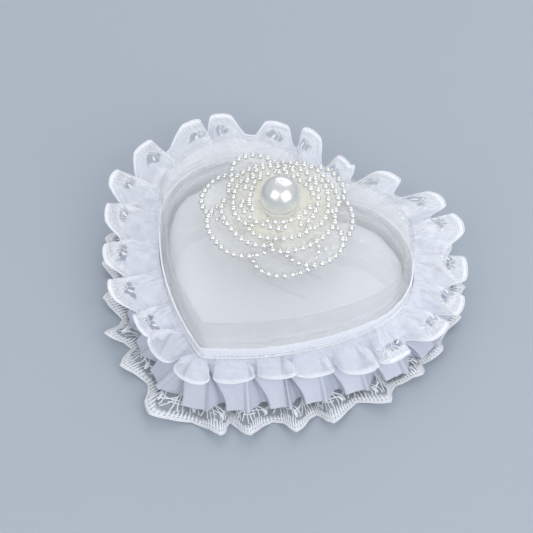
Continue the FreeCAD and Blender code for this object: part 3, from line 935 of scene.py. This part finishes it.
lower = AngularRuffle(
    23, LOWER_FOLDS, root=5.2,
    crest=[(0.0, (25.5, 4.6)), (0.1, (25.5, 4.4)), (0.2, (22.5, 4.6)), (0.27, (22.5, 4.6)),
           (0.31, (26.5, 4.6)), (0.4, (28.6, 4.4)), (0.5, (29.0, 4.4)), (0.6, (27.4, 4.6)),
           (0.7, (26.5, 4.6)), (0.85, (26.0, 4.6))],
    valley=[(0.0, (20.0, 0.6)), (0.1, (20.0, 0.6)), (0.2, (17.0, 0.6)), (0.27, (17.5, 0.6)),
            (0.31, (19.5, 0.5)), (0.4, (20.2, 0.5)), (0.5, (20.4, 0.5)), (0.6, (19.4, 0.5)),
            (0.7, (20.5, 0.6)), (0.85, (20.0, 0.6))],
    bulge=0.8, hook=0.02, broad=-0.02, lean=0.36)


def lower_edge(turn):
    """How far down the cloth is cut: shallow scallops."""
    return 0.965 + 0.035 * abs(math.cos(math.pi * turn * LOWER_REPEATS)) ** 0.8


lower_sheet = lower.sheet("lower_ruffle", LOWER_COLUMNS, LOWER_ROWS, LOWER_CLOTH, LOWER_WIDTH,
                          lower_edge)
dress(lower_sheet, LOWER_LACE)
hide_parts("lower_lace_ruffle")


def lower_place(x, y):
    return lower.place(x / LOWER_CLOTH, y / LOWER_WIDTH, lift=WORK_LIFT)


def lower_needlework():
    """Comb-stitched border, then branching cords with a few leaves that fill the ground."""
    work = Needlework()
    draw = random.Random(5)
    repeat = LOWER_CLOTH / LOWER_REPEATS

    def hem(x):
        return lower_edge(x / LOWER_CLOTH) * LOWER_WIDTH

    steps = LOWER_REPEATS * 20
    run = [LOWER_CLOTH * i / steps for i in range(steps + 1)]
    for depth, width in ((0.7, 0.7), (2.2, 0.35)):
        work.thread([(x, hem(x) - depth) for x in run], width)
    combs = 11
    for i in range(LOWER_REPEATS * combs):
        x = repeat * i / combs
        tall = 4.7 + 1.3 * math.sin(TAU * i / combs) + draw.uniform(-0.4, 0.4)
        work.thread([(x, hem(x) - 1.0), (x + 0.15, hem(x) - tall)], 0.62)
    for i in range(LOWER_REPEATS):
        x = repeat * (i + 0.5) + draw.uniform(-0.8, 0.8)
        foot = LOWER_WIDTH - 5.0
        head = LOWER_WIDTH - 16.0 + draw.uniform(-1.2, 1.2)
        for side in (-1.0, -0.7, -0.4, -0.12, 0.2, 0.5, 0.8):
            line = []
            for k in range(9):
                s = k / 8
                bow = side * repeat * 0.62 * math.sin(s * math.pi / 2) ** 1.5
                wave = 0.7 * math.sin(4 * s + side * 4)
                line.append((x + bow + wave, head + (foot - head) * s))
            work.thread(line, 0.34)
        drop = draw.uniform(1.4, 2.6)
        arc = [(x + repeat * (k / 8 - 0.5), foot - 3.4 - drop * math.sin(math.pi * k / 8))
               for k in range(9)]
        work.thread(arc, 0.4)
        work.thread([(a, b + 1.3) for a, b in arc[2:7]], 0.36)
        work.leaf((x + repeat * 0.46, foot - 0.4), -math.pi / 2 + 0.15, 4.4, 1.3, bend=0.3)
    return work


lower_work = lower_needlework().laid("lower_ruffle_needlework", "base", lower_place, 0.3)
dress(lower_work, THREAD)
lower_cord = hem_cord("lower_ruffle_edge", lower, LOWER_COLUMNS, lower_edge, 0.3)
dress(lower_cord, THREAD)
lower_flat, lower_area = strip_cut(lower_sheet, LOWER_COLUMNS, LOWER_ROWS)


# ---- Ring cushion ----------------------------------------------------------------------
cover_low, cover_high = millimetres("cushion_cover")
SLOTS_APART = 14.0
RING_SLOTS = ((0.0, SLOTS_Y + SLOTS_APART / 2), (0.0, SLOTS_Y - SLOTS_APART / 2))
SLOT_LENGTH, SLOT_WIDTH, SLOT_DEPTH, SLOT_ROUNDING = 22.0, 2.2, 8.5, 0.7
DIMPLE_DEPTH, DIMPLE_REACH, DIMPLE_FROM = 0.9, 3.0, 8.0
SWELL = 0.9  # most that the filling moves any point of the cover
SWELL_ROOM = 0.7
PRESSED = 0.45  # how far the plain form reaches past the cushion's clearance to the wall
VOXEL = 4.0


def pad_form(inset, top):
    """Plain closed heart that the filling swells into a cushion."""
    columns = 200
    wall = tray_high.x - cover_high.x
    profile = [(4.0, 0.3), (1.0, 0.3), (0.0, 1.4), (0.0, top - 1.9), (0.35, top - 0.8),
               (1.2, top - 0.2), (4.5, top), (10.0, top + 0.1)]
    points = []
    for inwards, z in profile:
        for i in range(columns):
            point, _ = heart.at(i / columns, -wall - inset - inwards)
            points.append((point.x, point.y, cover_low.z + z))
    faces = closed_grid(columns, len(profile))
    last = (len(profile) - 1) * columns
    faces += [tuple(range(columns))[::-1], tuple(range(last, last + columns))]
    piece = new_piece("ring_cushion", points, faces, "base")
    only(piece)
    bpy.ops.object.mode_set(mode="EDIT")
    bpy.ops.mesh.select_all(action="SELECT")
    bpy.ops.mesh.normals_make_consistent(inside=False)
    bpy.ops.object.mode_set(mode="OBJECT")
    return piece


def fill_with_pressure(piece, voxel, pressure, frames, most):
    """Swells a closed form as its filling would, and limits how far any point moves."""
    apply_modifier(piece, "REMESH", mode="VOXEL", voxel_size=voxel)
    before = [v.co.copy() for v in piece.data.vertices]
    only(piece)
    cloth = piece.modifiers.new("Filling", "CLOTH")
    cloth.settings.quality = 6
    cloth.settings.use_pressure = True
    cloth.settings.uniform_pressure_force = pressure
    cloth.settings.effector_weights.gravity = 0.0
    cloth.point_cache.frame_start, cloth.point_cache.frame_end = 1, frames
    for step in range(1, frames + 1):
        bpy.context.scene.frame_set(step)
    bpy.ops.object.modifier_apply(modifier=cloth.name)
    bpy.context.scene.frame_set(1)
    for vertex, old in zip(piece.data.vertices, before):
        move = vertex.co - old
        if move.length > most:
            vertex.co = old + move.normalized() * most


def press_slots(piece):
    """Draws the satin down round each ring slot, then opens the slot."""
    mesh = piece.data
    for vertex in mesh.vertices:
        at = vertex.co / MM
        if at.z < cover_low.z + DIMPLE_FROM:
            continue
        for x, y in RING_SLOTS:
            away = math.hypot(max(abs(at.x - x) - SLOT_LENGTH / 2, 0.0), at.y - y)
            vertex.co.z -= DIMPLE_DEPTH * MM * math.exp(-(away / DIMPLE_REACH) ** 2)
    for x, y in RING_SLOTS:
        bpy.ops.object.select_all(action="DESELECT")
        bpy.ops.mesh.primitive_cube_add(size=1.0, location=(x * MM, y * MM, cover_high.z * MM))
        cutter = bpy.context.object
        bpy.ops.object.mode_set(mode="EDIT")
        bpy.ops.transform.resize(value=(SLOT_LENGTH * MM, SLOT_WIDTH * MM, 2 * SLOT_DEPTH * MM))
        bpy.ops.mesh.bevel(offset=SLOT_ROUNDING * MM, segments=2)
        bpy.ops.object.mode_set(mode="OBJECT")
        apply_modifier(piece, "BOOLEAN", operation="DIFFERENCE", object=cutter, solver="EXACT")
        bpy.data.objects.remove(cutter)


cushion = pad_form(-PRESSED, cover_high.z - cover_low.z - SWELL_ROOM)
fill_with_pressure(cushion, voxel=VOXEL * MM, pressure=4.0, frames=20, most=SWELL * MM)
apply_modifier(cushion, "SUBSURF", levels=1, render_levels=1)
press_slots(cushion)
cushion.data.polygons.foreach_set("use_smooth", [True] * len(cushion.data.polygons))
only(cushion)
bpy.ops.object.shade_smooth_by_angle(angle=math.radians(40))
dress(cushion, PAD_SATIN)
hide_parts("cushion_cover", "cushion_foam")


# ---- Rose ------------------------------------------------------------------------------
pearl_low, pearl_high = millimetres("big_pearl")
ROSE_X, ROSE_Y = (pearl_low.x + pearl_high.x) / 2, (pearl_low.y + pearl_high.y) / 2
LID_TOP = lid_high.z
BEAD_RADIUS = 1.32
BEAD_PITCH = 3.05
PETAL_ROOT = 5.2
THREAD_RADIUS = 0.22
PETALS_APART = 3  # centimetres between the petals on the patterned cloth
RIM_FLOOR, CLOTH_FLOOR = 1.65, 0.5  # least height above the lid, with pearls and without

# Each layer: name, height of its root above the lid, slope, curl of its rim, share of the
# rim left without pearls near the root, and its petals: (direction, half width, reach).
ROSE_LAYERS = [
    ("outer_low", 1.9, 0.01, 1.0, 0.22,
     [(186, 13.5, 33.0), (308, 13.0, 30.5), (22, 13.5, 29.0), (110, 11.5, 28.5)]),
    ("outer_high", 2.6, 0.12, 0.8, 0.22,
     [(148, 10.5, 32.0), (243, 15.5, 30.0), (341, 11.5, 32.0), (70, 11.5, 29.0)]),
    ("middle", 3.6, 0.30, 0.8, 0.42,
     [(245, 15.0, 23.0), (335, 15.0, 23.5), (65, 14.5, 23.0), (155, 14.0, 22.5)]),
    ("inner", 4.5, 0.46, 0.8, 0.45,
     [(300, 12.0, 19.0), (30, 12.5, 19.0), (120, 12.0, 18.6), (210, 12.0, 18.6)]),
    ("throat", 5.4, 0.74, 0.6, 0.5,
     [(262, 11.0, 14.8), (22, 11.0, 14.8), (142, 11.0, 14.6)]),
    ("core", 6.6, 0.98, 0.3, 0.58,
     [(322, 9.0, 12.0), (82, 9.0, 12.0), (202, 9.0, 12.0)]),
]


def one_pearl():
    """Points and faces of one small pearl, flattened a little at its two thread holes."""
    bpy.ops.object.select_all(action="DESELECT")
    bpy.ops.mesh.primitive_ico_sphere_add(subdivisions=2, radius=BEAD_RADIUS)
    piece = bpy.context.object
    points = [v.co.copy() for v in piece.data.vertices]
    for p in points:
        p.x *= 0.97
    faces = [tuple(f.vertices) for f in piece.data.polygons]
    bpy.data.objects.remove(piece)
    return points, faces


PEARL_POINTS, PEARL_FACES = one_pearl()


def pearl_pin():
    """Small dished pin head that closes the big pearl's hole."""
    bpy.ops.object.select_all(action="DESELECT")
    top = Vector((ROSE_X, ROSE_Y, pearl_high.z - 0.05)) * MM
    bpy.ops.mesh.primitive_cylinder_add(vertices=24, radius=1.35 * MM, depth=0.7 * MM, location=top)
    pin = bpy.context.object
    pin.name = "pearl_pin"
    bpy.ops.object.mode_set(mode="EDIT")
    bpy.ops.mesh.select_all(action="SELECT")
    bpy.ops.mesh.bevel(offset=0.2 * MM, segments=3)
    bpy.ops.mesh.select_all(action="DESELECT")
    bpy.ops.object.mode_set(mode="OBJECT")
    for face in pin.data.polygons:
        face.select = face.normal.z > 0.99 and face.area > (1.0 * MM) ** 2
    bpy.ops.object.mode_set(mode="EDIT")
    bpy.ops.mesh.select_mode(type="FACE")
    bpy.ops.mesh.inset(thickness=0.35 * MM, depth=0.0)
    bpy.ops.mesh.inset(thickness=0.12 * MM, depth=-0.3 * MM)
    bpy.ops.object.mode_set(mode="OBJECT")
    bpy.ops.object.transform_apply(location=True, rotation=True, scale=True)
    bpy.ops.object.shade_smooth_by_angle(angle=math.radians(40))
    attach(pin, "lid")
    return pin


dress(pearl_pin(), BIG_PEARL)


class Petal:
    """One organza petal with a string of pearls along its rim."""

    def __init__(self, layer, number, direction, half_width, reach):
        self.name, self.root, self.slope, self.curl, self.bare, _ = layer
        self.number = number
        self.direction = math.radians(direction)
        self.half_width, self.reach = half_width, reach
        self.draw = random.Random(number * 31 + len(self.name) * 7 + int(reach * 10))
        self.outer = self.name.startswith("outer")
        self.tilt = 0.07 if self.outer else 0.05
        self.stir = self.draw.uniform(0, 100)

    def outline(self, angle):
        """Rim in plan; angle 0 is the far end, and half a turn is the root."""
        middle = (PETAL_ROOT + self.reach) / 2
        half = (self.reach - PETAL_ROOT) / 2
        x = middle + half * math.copysign(abs(math.cos(angle)) ** 0.9, math.cos(angle))
        narrow = 1.0 - 0.35 * smooth((middle - x) / half)
        y = self.half_width * narrow * math.copysign(abs(math.sin(angle)) ** 0.85, math.sin(angle))
        wobble = 0.5 * math.sin(3 * angle + self.stir)
        return x, y + wobble * 0.4

    def place(self, x, y, rim=0.0):
        """Point of the petal, rim running from 0 in its middle to 1 at its edge."""
        away = math.hypot(x, y)
        z = self.root + max(away - PETAL_ROOT, 0) * self.slope + self.tilt * y
        z += self.curl * rim ** 3
        z += 0.5 * noise.noise(Vector((x * 0.16, y * 0.16, self.stir))) * smooth(away / 18)
        z = max(z, RIM_FLOOR if rim > 0.8 else CLOTH_FLOOR)
        c, s = math.cos(self.direction), math.sin(self.direction)
        return Vector((ROSE_X + x * c - y * s, ROSE_Y + x * s + y * c, LID_TOP + z))

    def sheet(self):
        columns, rows = 40, 9
        middle = (PETAL_ROOT + self.reach) / 2
        points, uvs = [], []
        for j in range(1, rows):
            share = j / (rows - 1)
            for i in range(columns):
                x, y = self.outline(TAU * i / columns)
                x, y = middle + (x - middle) * share, y * share
                points.append(self.place(x, y, share))
                uvs.append((x * CM + self.number * PETALS_APART, y * CM))
        points.append(self.place(middle, 0.0, 0.0))
        uvs.append((middle * CM + self.number * PETALS_APART, 0.0))
        faces = closed_grid(columns, rows - 1)
        faces += [(len(points) - 1, i, (i + 1) % columns) for i in range(columns)]
        node = "petal_%s_%d" % (self.name, self.number)
        piece = new_piece("organza_%s_%d" % (self.name, self.number), points, faces, "lid", uvs)
        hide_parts(node)
        return piece

    def rim(self):
        """Line that the pearls follow, from one side of the root to the other."""
        end = math.pi * (1 - self.bare)
        steps = 240
        line = []
        for i in range(steps + 1):
            x, y = self.outline(-end + 2 * end * i / steps)
            line.append(self.place(x, y, 1.0))
        return line

    def pearls(self):
        line = self.rim()
        lengths = [0.0]
        for a, b in zip(line, line[1:]):
            lengths.append(lengths[-1] + (b - a).length)
        count = max(int(lengths[-1] / BEAD_PITCH), 2)
        points, faces = [], []
        spots, at = [], 0
        for k in range(count + 1):
            want = lengths[-1] * k / count
            while at < len(line) - 2 and lengths[at + 1] < want:
                at += 1
            share = (want - lengths[at]) / max(lengths[at + 1] - lengths[at], 1e-6)
            spots.append(line[at].lerp(line[at + 1], share))
        for k, spot in enumerate(spots):
            run = spots[min(k + 1, count)] - spots[max(k - 1, 0)]
            turn = run.to_track_quat("X", "Z")
            size = self.draw.uniform(0.96, 1.02)
            start = len(points)
            points += [spot + turn @ (p * size) for p in PEARL_POINTS]
            faces += [tuple(start + v for v in f) for f in PEARL_FACES]
        thread_points, thread_faces = tube(spots, THREAD_RADIUS, 5)
        start = len(points)
        points += thread_points
        faces += [tuple(start + v for v in f) for f in thread_faces]
        piece = new_piece("pearl_rim_%s_%d" % (self.name, self.number), points, faces, "lid")
        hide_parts("pearls_%s_%d" % (self.name, self.number))
        return piece


def tube(line, radius, sides):
    """Closed tube along a line of points."""
    points, faces = [], []
    for i, spot in enumerate(line):
        run = line[min(i + 1, len(line) - 1)] - line[max(i - 1, 0)]
        turn = run.to_track_quat("X", "Z")
        for k in range(sides):
            a = TAU * k / sides
            points.append(spot + turn @ Vector((0, radius * math.cos(a), radius * math.sin(a))))
    for i in range(len(line) - 1):
        for k in range(sides):
            n = (k + 1) % sides
            faces.append((i * sides + k, i * sides + n, (i + 1) * sides + n, (i + 1) * sides + k))
    faces.append(tuple(range(sides))[::-1])
    faces.append(tuple((len(line) - 1) * sides + k for k in range(sides)))
    return points, faces


for layer in ROSE_LAYERS:
    for number, (direction, half_width, reach) in enumerate(layer[-1], 1):
        petal = Petal(layer, number, direction, half_width, reach)
        cloth, string = petal.sheet(), petal.pearls()
        dress(cloth, PETAL_OUTER if petal.outer else PETAL_INNER)
        dress(string, SMALL_PEARL)


# ---- Table, light and camera -----------------------------------------------------------
def table_material():
    """Matt grey-blue table top."""
    material, nodes, links, shader = new_material("table")
    base_tone(nodes, links, shader, coordinates(nodes, "Object"), (0.375, 0.42, 0.475),
              (0.395, 0.44, 0.495), 2.0)
    shader.inputs["Roughness"].default_value = 0.6
    return material


bpy.ops.object.select_all(action="DESELECT")
bpy.ops.mesh.primitive_plane_add(size=6.0, location=(0, 0, 0))
table = bpy.context.object
table.name = "table"
table.data.materials.append(table_material())


def soft_lamp(name, place, width, power, colour):
    """Square lamp that points at the box."""
    bpy.ops.object.light_add(type="AREA", location=place)
    lamp = bpy.context.object
    lamp.name = name
    lamp.data.shape = "SQUARE"
    lamp.data.size = width
    lamp.data.energy = power
    lamp.data.color = colour
    lamp.rotation_euler = (-Vector(place)).to_track_quat("-Z", "Y").to_euler()


soft_lamp("window", (-0.3, 1.05, 0.9), 1.5, 6.5, (1.0, 1.0, 1.0))
soft_lamp("fill", (0.95, -0.25, 0.7), 1.0, 7.0, (0.95, 0.97, 1.0))
soft_lamp("front", (-0.2, -0.9, 0.9), 0.9, 3.6, (0.98, 0.99, 1.0))

HORIZON, ZENITH = (0.78, 0.81, 0.86), (0.92, 0.95, 1.0)
world = bpy.data.worlds.new("studio")
bpy.context.scene.world = world
world.use_nodes = True
sky_nodes, sky_links = world.node_tree.nodes, world.node_tree.links
sky_axes = parted(sky_nodes, sky_links, coordinates(sky_nodes, "Generated"))
sky_height = math_node(sky_nodes, sky_links, "MULTIPLY_ADD", sky_axes["Z"], 1.4, 0.1)
sky_height.node.use_clamp = True
sky_colour = colour_mix(sky_nodes, sky_links, sky_height, HORIZON, ZENITH)
sky_links.new(sky_colour, sky_nodes["Background"].inputs["Color"])
sky_nodes["Background"].inputs["Strength"].default_value = 0.64

ELEVATION, AZIMUTH, DISTANCE = math.radians(51.25), math.radians(31.87), 0.63238
LENS = 104.74
AIM = Vector((-0.0007, 0.0018, 0.020))
back = Vector((math.sin(AZIMUTH) * math.cos(ELEVATION), -math.cos(AZIMUTH) * math.cos(ELEVATION),
               math.sin(ELEVATION)))
bpy.ops.object.camera_add(location=AIM + back * DISTANCE)
camera = bpy.context.object
camera.rotation_euler = (-back).to_track_quat("-Z", "Y").to_euler()
camera.data.sensor_width = 36.0
camera.data.lens = LENS
camera.data.clip_start = 0.01
bpy.context.scene.camera = camera
bpy.context.scene.view_settings.view_transform = "Standard"
